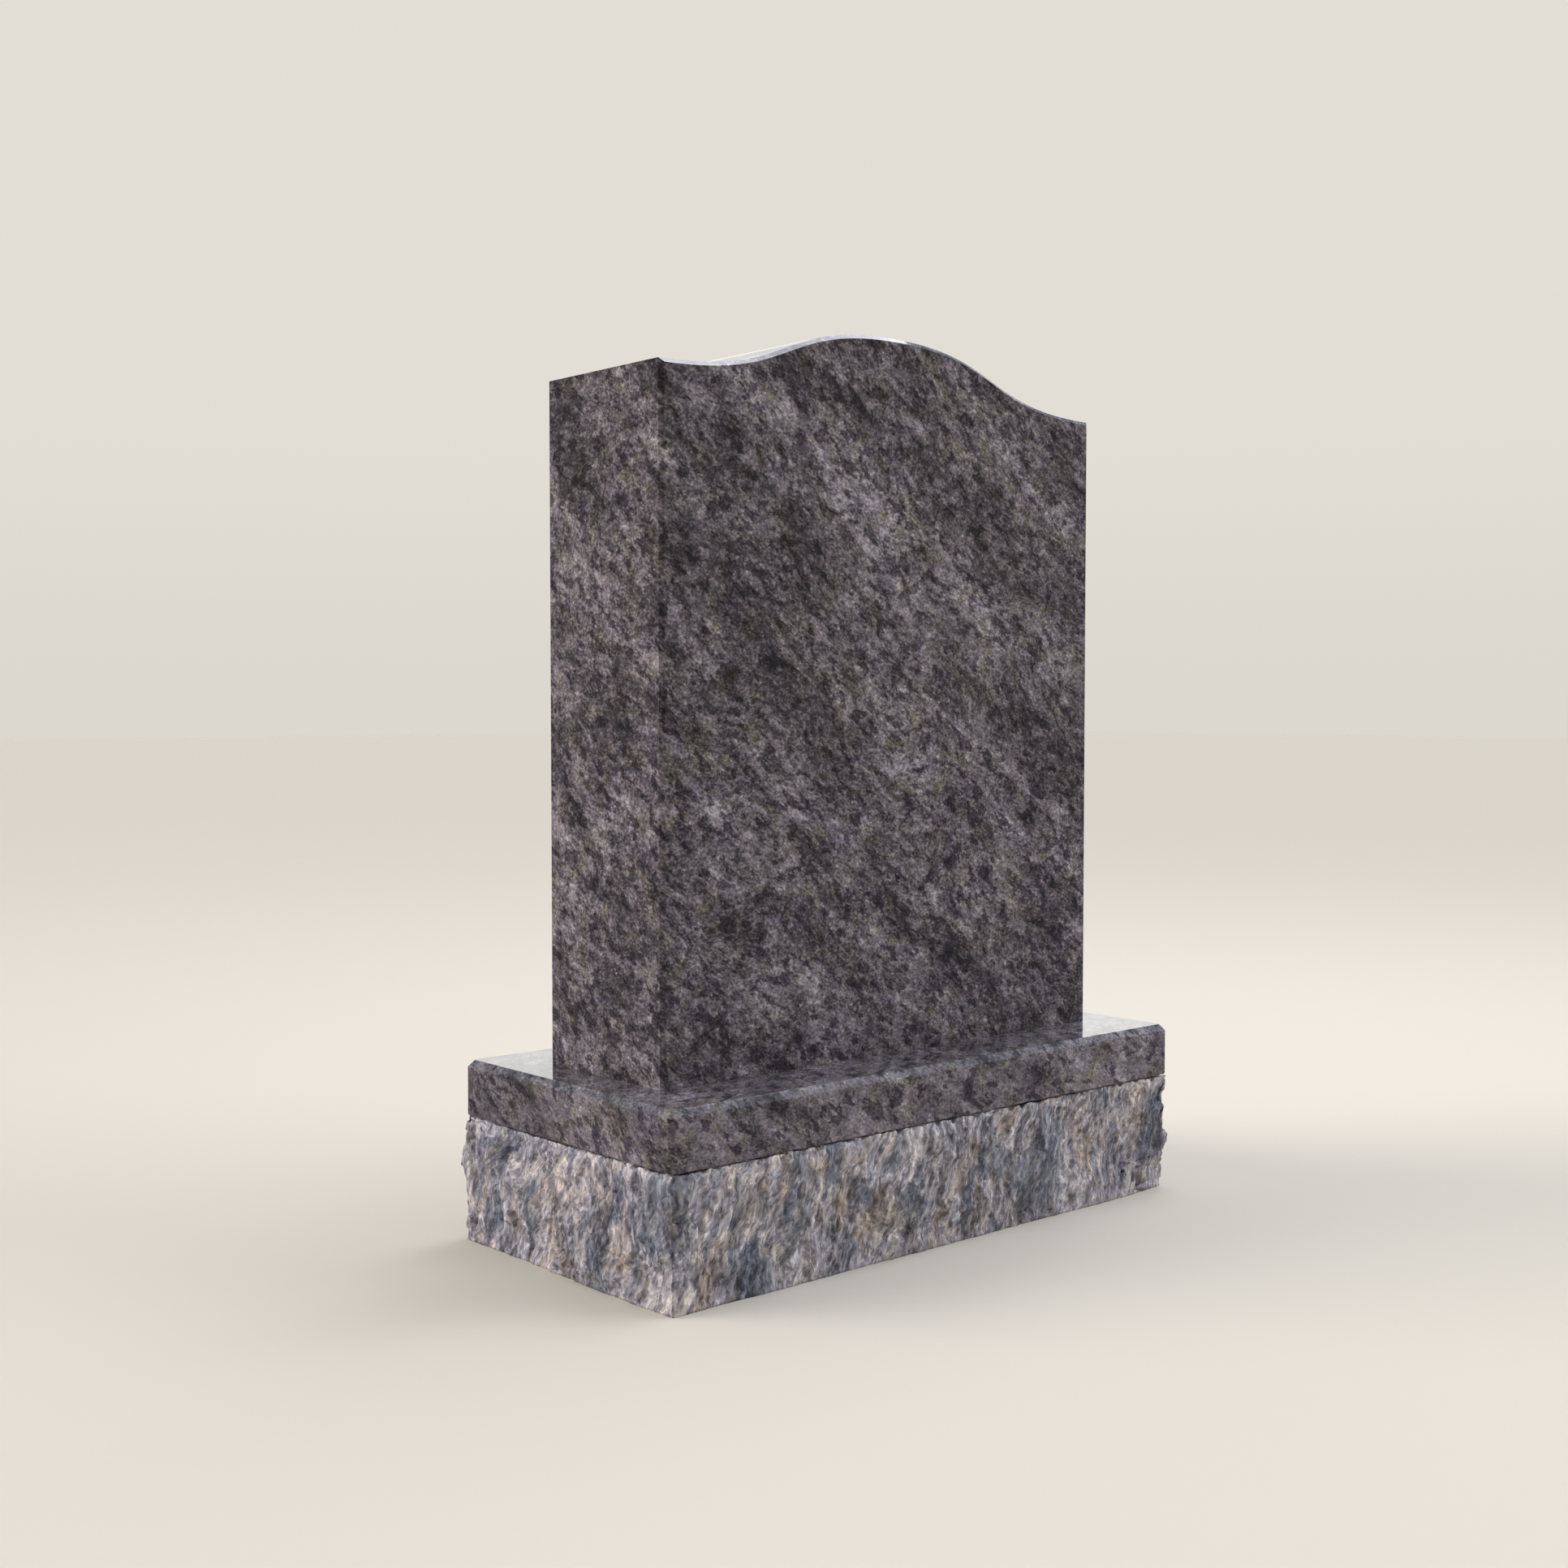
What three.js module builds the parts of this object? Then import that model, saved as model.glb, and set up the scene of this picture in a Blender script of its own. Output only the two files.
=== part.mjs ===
// An upright headstone of three granite stones, stacked dry:
// a polished tablet with a wave top, a polished base slab, and a rock-pitched course under them.
// Millimetres, +Z up, +X to the right along the front, +Y towards the back.
// The origin is the middle of the underside.

import * as THREE from 'three';
import { ImprovedNoise } from 'three/addons/math/ImprovedNoise.js';

// Tablet: the top falls from a crown in the middle to a level shoulder at each side.
const tabletWidth = 600;
const tabletThickness = 180;
const shoulderHeight = 667;
const crownRise = 54;
const crownFullness = 0.52; // share of the half width over which the crown stays near level
const shoulderFullness = 0.55; // the same for the shoulder
const tabletArris = 4;
const waveSteps = 48; // straight stretches in each half of the wave

// Polished base slab: it shows this much ledge past each end and each face of the tablet.
const endLedge = 50;
const faceLedge = 77.5;
const slabHeight = 55.5;
const slabChamfer = 6.5; // round the top edge
const slabCornerCut = 6; // up the four corners
const slabArris = 1.5; // round the bottom edge

// Rock-pitched course: it has the slab's plan, sawn flat above and below and broken on four sides.
const courseHeight = 125;
const flakeLength = 105; // along the face, from one broad flake to the next
const flakeHeight = 62; // up the face
const flakeDepth = 10;
const flakeLean = 0.45; // sideways lean of the flakes for each millimetre of height
const scarLength = 42; // the smaller scars over the flakes
const scarDepth = 3;
const breakSetback = 0.5; // how far a broken face lies inside the slab's edge on the average
const cornerBlunt = 1.5; // knocked off the upright corners
const pitchBand = 22; // the break dies away to the sawn edges over this height
const edgeWaver = 0.2; // share of the break that still shows at a sawn edge
const cornerBite = 4; // broken off the lower front corner on the right
const cornerBiteReach = 75;
const breakSeed = 134; // moves the whole pattern of flakes
const faceStep = 12.5; // spacing of the points over a broken face

// The stones lie on each other with this joint, so that no two of them share a surface.
const bedJoint = 0.3;

const slabLength = tabletWidth + 2 * endLedge;
const slabDepth = tabletThickness + 2 * faceLedge;
const slabBottom = courseHeight + bedJoint;
const tabletBottom = slabBottom + slabHeight + bedJoint;

const polishedGranite = new THREE.MeshStandardMaterial({ color: 0x545054, roughness: 0.15, metalness: 0 });
const brokenGranite = new THREE.MeshStandardMaterial({ color: 0x827f80, roughness: 0.85, metalness: 0 });

// Builds a closed solid through a stack of loops with the same number of points in each.
// The loops turn anticlockwise seen from the last one. Each end is closed by a fan from its middle.
function solidThroughLoops(loops) {
  const count = loops[0].length;
  const points = loops.flat();
  const firstMiddle = points.push(middleOf(loops[0])) - 1;
  const lastMiddle = points.push(middleOf(loops[loops.length - 1])) - 1;
  const lastStart = (loops.length - 1) * count;
  const index = [];
  for (let i = 0; i < count; i += 1) {
    const next = (i + 1) % count;
    index.push(firstMiddle, next, i);
    index.push(lastMiddle, lastStart + i, lastStart + next);
    for (let level = 0; level < loops.length - 1; level += 1) {
      const low = level * count;
      const high = low + count;
      index.push(low + i, low + next, high + next);
      index.push(low + i, high + next, high + i);
    }
  }
  const geometry = new THREE.BufferGeometry().setFromPoints(points);
  geometry.setIndex(index);
  geometry.computeVertexNormals();
  return geometry;
}

function middleOf(loop) {
  return new THREE.Box3().setFromPoints(loop).getCenter(new THREE.Vector3());
}

// Moves each edge of an anticlockwise outline inwards by its own distance and mitres the corners.
// Edge i runs from point i to the next one.
function insetOutline(outline, distances) {
  const count = outline.length;
  const inward = outline.map((point, i) => {
    const along = outline[(i + 1) % count].clone().sub(point).normalize();
    return new THREE.Vector2(-along.y, along.x);
  });
  return outline.map((point, i) => {
    const before = (i + count - 1) % count;
    const turn = inward[before].cross(inward[i]);
    if (Math.abs(turn) < 1e-9) {
      return point.clone().addScaledVector(inward[i], distances[i]);
    }
    return new THREE.Vector2(
      point.x + (distances[before] * inward[i].y - distances[i] * inward[before].y) / turn,
      point.y + (distances[i] * inward[before].x - distances[before] * inward[i].x) / turn,
    );
  });
}

// The tablet's outline seen from the front, anticlockwise from its bottom left corner.
function tabletOutline() {
  const halfWidth = tabletWidth / 2;
  const crownHeight = shoulderHeight + crownRise;
  const halfWave = new THREE.CubicBezierCurve(
    new THREE.Vector2(halfWidth, shoulderHeight),
    new THREE.Vector2(halfWidth * (1 - shoulderFullness), shoulderHeight),
    new THREE.Vector2(halfWidth * crownFullness, crownHeight),
    new THREE.Vector2(0, crownHeight),
  ).getPoints(waveSteps);
  const otherHalf = halfWave.slice(0, -1).reverse().map((point) => new THREE.Vector2(-point.x, point.y));
  return [new THREE.Vector2(-halfWidth, 0), new THREE.Vector2(halfWidth, 0), ...halfWave, ...otherHalf];
}

// Front and back faces are the outline drawn in by the arris, except along the bottom edge.
function makeTablet() {
  const outline = tabletOutline();
  const arrises = outline.map((point, i) => (i === 0 ? 0 : tabletArris));
  const face = insetOutline(outline, arrises);
  const halfThickness = tabletThickness / 2;
  const loopAt = (shape, y) => shape.map((point) => new THREE.Vector3(point.x, y, point.y));
  return solidThroughLoops([
    loopAt(face, halfThickness),
    loopAt(outline, halfThickness - tabletArris),
    loopAt(outline, tabletArris - halfThickness),
    loopAt(face, -halfThickness),
  ]);
}

// A rectangle about the middle with its corners cut, anticlockwise from above.
function cutRectangle(length, depth, cut) {
  const x = length / 2;
  const y = depth / 2;
  return [
    new THREE.Vector2(-x + cut, -y),
    new THREE.Vector2(x - cut, -y),
    new THREE.Vector2(x, -y + cut),
    new THREE.Vector2(x, y - cut),
    new THREE.Vector2(x - cut, y),
    new THREE.Vector2(-x + cut, y),
    new THREE.Vector2(-x, y - cut),
    new THREE.Vector2(-x, -y + cut),
  ];
}

function makeSlab() {
  const plan = cutRectangle(slabLength, slabDepth, slabCornerCut);
  const loopAt = (inset, z) => insetOutline(plan, plan.map(() => inset))
    .map((point) => new THREE.Vector3(point.x, point.y, z));
  return solidThroughLoops([
    loopAt(slabArris, 0),
    loopAt(0, slabArris),
    loopAt(0, slabHeight - slabChamfer),
    loopAt(slabChamfer, slabHeight),
  ]);
}

const noise = new ImprovedNoise();

// How far a broken face stands proud of its nominal plane at a point.
function breakAt(x, y, z) {
  const leanX = x + flakeLean * z;
  const leanY = y - flakeLean * z;
  const flake = noise.noise(leanX / flakeLength, leanY / flakeLength, z / flakeHeight + breakSeed);
  const scar = noise.noise(leanX / scarLength, leanY / scarLength, z / scarLength + breakSeed);
  const ridge = 0.5 - 2 * Math.abs(scar);
  return flakeDepth * flake + scarDepth * ridge - breakSetback;
}

function brokenReach(x, y, z) {
  const fromEdge = Math.min(z, courseHeight - z);
  const hold = edgeWaver + (1 - edgeWaver) * THREE.MathUtils.smoothstep(fromEdge, 0, pitchBand);
  const fromCorner = Math.hypot(slabLength / 2 - x, slabDepth / 2 + y, z);
  const bite = cornerBite * (1 - THREE.MathUtils.smoothstep(fromCorner, 0, cornerBiteReach));
  return hold * breakAt(x, y, z) - bite;
}

// The points round one level of the course, anticlockwise from above. A point moves along its
// side's normal, and a corner point along both of its sides' normals.
function courseLoop(z) {
  const x = slabLength / 2;
  const y = slabDepth / 2;
  const corners = [[-x, -y], [x, -y], [x, y], [-x, y]];
  return corners.flatMap(([startX, startY], side) => {
    const [endX, endY] = corners[(side + 1) % corners.length];
    const steps = Math.round(Math.hypot(endX - startX, endY - startY) / faceStep);
    return Array.from({ length: steps }, (_, step) => {
      const px = THREE.MathUtils.lerp(startX, endX, step / steps);
      const py = THREE.MathUtils.lerp(startY, endY, step / steps);
      const reach = brokenReach(px, py, z) - (step === 0 ? cornerBlunt : 0);
      const onEnd = Math.abs(px) === x;
      const onFace = Math.abs(py) === y;
      return new THREE.Vector3(
        px + (onEnd ? Math.sign(px) * reach : 0),
        py + (onFace ? Math.sign(py) * reach : 0),
        z,
      );
    });
  });
}

function makeCourse() {
  const levels = Math.round(courseHeight / faceStep);
  return solidThroughLoops(Array.from({ length: levels + 1 }, (_, level) => courseLoop(courseHeight * level / levels)));
}

const headstone = new THREE.Group();

function place(name, geometry, material, height) {
  const mesh = new THREE.Mesh(geometry, material);
  mesh.name = name;
  mesh.position.z = height;
  headstone.add(mesh);
}

place('rock_pitched_base', makeCourse(), brokenGranite, 0);
place('polished_base', makeSlab(), polishedGranite, slabBottom);
place('tablet', makeTablet(), polishedGranite, tabletBottom);

export default headstone;
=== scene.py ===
"""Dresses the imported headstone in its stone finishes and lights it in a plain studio.

From the ground up it has a rock-pitched course, a polished slab and a polished tablet with a wave
top. Lengths are metres, and the constant MM turns a size in millimetres into metres.
"""

import logging
import math
from dataclasses import dataclass, field
from enum import Enum

import bmesh
import bpy
from mathutils import Matrix, Vector


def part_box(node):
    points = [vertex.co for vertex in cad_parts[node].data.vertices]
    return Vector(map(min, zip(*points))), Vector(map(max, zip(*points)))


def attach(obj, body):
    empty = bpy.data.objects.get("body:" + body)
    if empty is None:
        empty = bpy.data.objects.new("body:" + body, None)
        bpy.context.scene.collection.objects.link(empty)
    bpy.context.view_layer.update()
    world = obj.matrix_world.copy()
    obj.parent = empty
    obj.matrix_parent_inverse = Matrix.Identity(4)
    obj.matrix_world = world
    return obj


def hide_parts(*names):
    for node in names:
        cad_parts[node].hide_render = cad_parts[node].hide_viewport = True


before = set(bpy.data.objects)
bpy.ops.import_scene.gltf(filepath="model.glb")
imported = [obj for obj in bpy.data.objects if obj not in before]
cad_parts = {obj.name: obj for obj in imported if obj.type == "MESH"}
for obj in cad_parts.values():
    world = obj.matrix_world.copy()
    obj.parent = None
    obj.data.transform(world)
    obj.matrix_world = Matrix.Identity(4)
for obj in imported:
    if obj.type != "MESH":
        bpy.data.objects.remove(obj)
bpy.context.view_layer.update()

MM = 0.001
PHOTO_SIDE = 1932  # pixels along each side of the square photograph
LIT_PLACE = (0.0, 0.0, 0.5)  # the middle of the stone, which every lamp faces

# A Mix node keeps one set of sockets for each kind of value. These are its colour sockets.
MIX_COLOUR_A = 6
MIX_COLOUR_B = 7
MIX_COLOUR_OUT = 2

# The waves in the stone's bedding have a little finer detail on them.
WAVE_DETAIL = 2.0
WAVE_ROUGHNESS = 0.45

log = logging.getLogger("headstone")


class Side(Enum):
    """The four broken sides of the course, each with its outward direction."""

    FRONT = (0.0, -1.0)
    RIGHT = (1.0, 0.0)
    BACK = (0.0, 1.0)
    LEFT = (-1.0, 0.0)


def linear(hex_colour: str) -> tuple[float, float, float, float]:
    """Turns an sRGB colour into the linear one that a shader takes.

    Args:
        hex_colour: six hex digits after a hash sign.

    Returns:
        Linear red, green, blue and an alpha of one.
    """
    parts = [int(hex_colour[i:i + 2], 16) / 255 for i in (1, 3, 5)]
    red, green, blue = (p / 12.92 if p <= 0.04045 else ((p + 0.055) / 1.055) ** 2.4 for p in parts)
    return red, green, blue, 1.0


@dataclass
class Tree:
    """A node tree, and the one way in which every node is added to it."""

    body: bpy.types.NodeTree

    def add(
        self,
        kind: str,
        settings: dict | None = None,
        inputs: dict | None = None,
        stops: list[tuple[float, str]] | None = None,
    ) -> bpy.types.Node:
        """Adds a node, sets its properties and fills its inputs.

        Args:
            kind: the node's type name.
            settings: properties of the node and their values.
            inputs: sockets, by name or number, and the value or the output that feeds each.
            stops: for a colour ramp, its positions and hex colours.

        Returns:
            The new node.
        """
        node = self.body.nodes.new(kind)
        for name, value in (settings or {}).items():
            setattr(node, name, value)
        for name, value in (inputs or {}).items():
            if isinstance(value, bpy.types.NodeSocket):
                self.body.links.new(value, node.inputs[name])
            else:
                node.inputs[name].default_value = value
        if stops:
            elements = node.color_ramp.elements
            while len(elements) < len(stops):
                elements.new(1.0)
            for element, (position, colour) in zip(elements, stops):
                element.position = position
                element.color = linear(colour)
        return node


@dataclass(frozen=True)
class Layer:
    """One layer of variation in a stone: how large its patches are and how far they show."""

    size: float
    detail: float
    roughness: float
    weight: float


@dataclass(frozen=True)
class Stain:
    """A tint that shows in patches of a stone, as a mineral among its grains does."""

    tint: str  # what the stain turns white into
    start: float  # the variation at which a patch begins
    full: float  # the variation at which it is strongest


def shifted(tree: Tree, shift: tuple[float, float, float]) -> bpy.types.NodeSocket:
    """Reads the place in the stone, moved so that another stretch of the pattern shows.

    Args:
        tree: the tree that gets the nodes.
        shift: how far the pattern moves.

    Returns:
        The moved place.
    """
    place = tree.add("ShaderNodeTexCoord").outputs["Object"]
    return tree.add("ShaderNodeVectorMath", {"operation": "ADD"}, {0: place, 1: shift}).outputs[0]


def vary(
    tree: Tree,
    place: bpy.types.NodeSocket,
    layers: tuple[Layer, ...],
    start: bpy.types.NodeSocket | float = 0.5,
) -> bpy.types.NodeSocket:
    """Adds layers of variation, each as much above nothing as below it.

    Args:
        tree: the tree that gets the nodes.
        place: where the layers are read.
        layers: the layers.
        start: what they are added to.

    Returns:
        The output that holds the sum.
    """
    for layer in layers:
        noise = tree.add(
            "ShaderNodeTexNoise",
            {"normalize": False},
            {
                "Vector": place,
                "Scale": 1 / layer.size,
                "Detail": layer.detail,
                "Roughness": layer.roughness,
            },
        )
        start = tree.add(
            "ShaderNodeMath",
            {"operation": "MULTIPLY_ADD"},
            {0: noise.outputs["Fac"], 1: layer.weight, 2: start},
        ).outputs[0]
    return start


def folded(
    tree: Tree,
    place: bpy.types.NodeSocket,
    wavelength: float,
    reach: float,
) -> bpy.types.NodeSocket:
    """Folds a stone's bedding into waves.

    Args:
        tree: the tree that gets the nodes.
        place: places in the flat bedding.
        wavelength: from one wave to the next.
        reach: how far a wave moves the bedding.

    Returns:
        The same places in the folded bedding.
    """
    wave = tree.add(
        "ShaderNodeTexNoise",
        {"normalize": False},
        {
            "Vector": place,
            "Scale": 1 / wavelength,
            "Detail": WAVE_DETAIL,
            "Roughness": WAVE_ROUGHNESS,
        },
    )
    return tree.add(
        "ShaderNodeVectorMath",
        {"operation": "MULTIPLY_ADD"},
        {0: wave.outputs["Color"], 1: (reach,) * 3, 2: place},
    ).outputs[0]


def tinted(
    tree: Tree,
    colour: bpy.types.NodeSocket,
    patches: bpy.types.NodeSocket,
    stain: Stain,
) -> bpy.types.NodeSocket:
    """Stains patches of a stone without hiding its grain.

    Args:
        tree: the tree that gets the nodes.
        colour: the stone before the stain.
        patches: the variation that says where the stain is.
        stain: the stain.

    Returns:
        The stained colour.
    """
    share = tree.add(
        "ShaderNodeMapRange",
        {"interpolation_type": "SMOOTHSTEP"},
        {"Value": patches, 1: stain.start, 2: stain.full, 3: 0.0, 4: 1.0},
    )
    stained = tree.add(
        "ShaderNodeMix",
        {"data_type": "RGBA", "blend_type": "MULTIPLY"},
        {0: share.outputs[0], MIX_COLOUR_A: colour, MIX_COLOUR_B: linear(stain.tint)},
    )
    return stained.outputs[MIX_COLOUR_OUT]


@dataclass(frozen=True)
class Bed:
    """A bedding of the stone: how it lies, how far it is drawn out, and the layers it holds.

    The slopes are those of the lines that it draws on two faces: the rise for each metre to the
    right on the front, and for each metre towards the back on an end.
    """

    front_slope: float
    end_slope: float
    draw_out: float  # length of a patch along the bedding for each unit across it
    layers: tuple[Layer, ...] = ()

    def place(self, tree: Tree, source: bpy.types.NodeSocket) -> bpy.types.NodeSocket:
        """Turns places in the stone into places in this bedding.

        Args:
            tree: the tree that gets the node.
            source: the place in the stone.

        Returns:
            The place along, along and across the bedding.
        """
        along = Vector((1.0, 0.0, self.front_slope)).normalized()
        square = along.cross(Vector((0.0, 1.0, self.end_slope))).normalized()
        side = square.cross(along)
        return tree.add(
            "ShaderNodeMapping",
            {"vector_type": "TEXTURE"},
            {
                "Vector": source,
                "Rotation": tuple(Matrix((along, side, square)).transposed().to_euler()),
                "Scale": (self.draw_out, self.draw_out, 1.0),
            },
        ).outputs[0]


@dataclass(frozen=True)
class Finish:
    """A finish, whose own class says what its surface takes."""

    name: str

    def surface(self, tree: Tree) -> dict:
        """Says what the surface's shader takes.

        Args:
            tree: the material's tree.

        Returns:
            The shader's inputs, and the value or the output that feeds each.
        """
        raise NotImplementedError

    def material(self) -> bpy.types.Material:
        """Builds the material and returns it."""
        material = bpy.data.materials.new(self.name)
        material.use_nodes = True
        material.node_tree.nodes.clear()
        tree = Tree(material.node_tree)
        shader = tree.add("ShaderNodeBsdfPrincipled", inputs=self.surface(tree))
        tree.add("ShaderNodeOutputMaterial", inputs={"Surface": shader.outputs[0]})
        return material


# The polish lets the light into the stone, so the eye sees a deep dark colour with a thin mirror
# over it. The mirror turns nearly white where the eye grazes the slab's ledge and the wave top.
@dataclass(frozen=True)
class PolishedGranite(Finish):
    """Dark foliated granite, sawn and polished to a mirror.

    Mauve-grey feldspar and quartz with charcoal biotite drawn out in slanting bands. The polish
    leaves the colour deep and shows a sharp reflection only at a low angle.
    """

    name: str = "polished foliated granite"
    slot: str = "polished_granite"
    fold: float = 160 * MM
    fold_reach: float = 9 * MM
    shift: tuple[float, float, float] = (2.38, 2.32, 1.82)  # moves the pattern through the stone
    beds: tuple[Bed, ...] = (
        Bed(-0.85, 1.0, 3.2, (Layer(75 * MM, 1.0, 0.5, 0.17),)),
        Bed(-0.75, 0.7, 2.6, (Layer(19 * MM, 3.0, 0.7, 0.19),)),
        Bed(-0.45, 0.4, 1.5, (Layer(7 * MM, 2.0, 0.8, 0.19),)),
        Bed(-0.2, 0.2, 1.3, (Layer(2.4 * MM, 1.0, 0.6, 0.23),)),
    )
    mica: Bed = Bed(-0.75, 0.7, 2.0, (Layer(11 * MM, 3.0, 0.7, 1.0),))
    biotite: Stain = Stain("#a19fa6", 0.17, 0.42)
    # Painted glints: a rare grain is painted lighter, in place of the glint of light off its mica.
    glint_grain: float = 1.5 * MM  # real mica glints are finer and wouldn't show from here
    glint_rarity: float = 0.996  # share of the grains that don't glint
    painted_glint: float = 0.22  # how much lighter a glint is
    contrast: float = 0.94  # how far the layers show in this stone; the slab's lower value also paints light over them
    middle: float = 0.525  # tone where every layer is at nothing
    tones: tuple[tuple[float, str], ...] = (
        (0.00, "#1f1c20"),
        (0.18, "#2a2729"),
        (0.36, "#3c383b"),
        (0.50, "#575154"),
        (0.63, "#726b6f"),
        (0.75, "#898186"),
        (0.90, "#aca7aa"),
    )
    patch: Layer = Layer(26 * MM, 4.0, 0.75, 1.0)
    olive: Stain = Stain("#f4f5dc", 0.1, 0.9)
    lavender: Stain = Stain("#f1eefb", 0.1, 0.9)
    ior: float = 1.52
    roughness: float = 0.06

    def surface(self, tree: Tree) -> dict:
        """Mixes the stone's minerals under the polish, and paints glints on a few grains.

        Args:
            tree: the material's tree.

        Returns:
            The shader's inputs.
        """
        place = shifted(tree, self.shift)
        bed = folded(tree, place, self.fold, self.fold_reach)
        grain = tree.add(
            "ShaderNodeTexVoronoi", inputs={"Vector": place, "Scale": 1 / self.glint_grain}
        )
        own = tree.add("ShaderNodeSeparateColor", inputs={"Color": grain.outputs["Color"]})
        # Painted glints: a few grains get a lighter colour, which stands in for light glinting off
        # mica.
        painted_glints = tree.add(
            "ShaderNodeMath",
            {"operation": "GREATER_THAN"},
            {0: own.outputs[0], 1: self.glint_rarity},
        )
        tone = tree.add(
            "ShaderNodeMath", {"operation": "MULTIPLY"}, {0: painted_glints.outputs[0], 1: self.painted_glint}
        ).outputs[0]
        for lie in self.beds:
            tone = vary(tree, lie.place(tree, bed), lie.layers, tone)
        tone = tree.add(
            "ShaderNodeMath",
            {"operation": "MULTIPLY_ADD"},
            {0: tone, 1: self.contrast, 2: self.middle},
        ).outputs[0]
        stone = tree.add("ShaderNodeValToRGB", inputs={"Fac": tone}, stops=list(self.tones))
        flakes = vary(tree, self.mica.place(tree, bed), self.mica.layers, 0.0)
        dark = tinted(tree, stone.outputs[0], flakes, self.biotite)
        patches = vary(tree, bed, (self.patch,), 0.0)
        olive = tinted(tree, dark, patches, self.olive)
        flipped = tree.add("ShaderNodeMath", {"operation": "MULTIPLY"}, {0: patches, 1: -1.0})
        colour = tinted(tree, olive, flipped.outputs[0], self.lavender)
        return {"Base Color": colour, "Roughness": self.roughness, "IOR": self.ior}


@dataclass(frozen=True)
class Vein:
    """A set of pale veins, which wind along the middle of a layer's range."""

    layer: Layer
    width: float  # share of the layer's range that a vein takes up
    lift: float  # how much lighter a vein is


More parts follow.
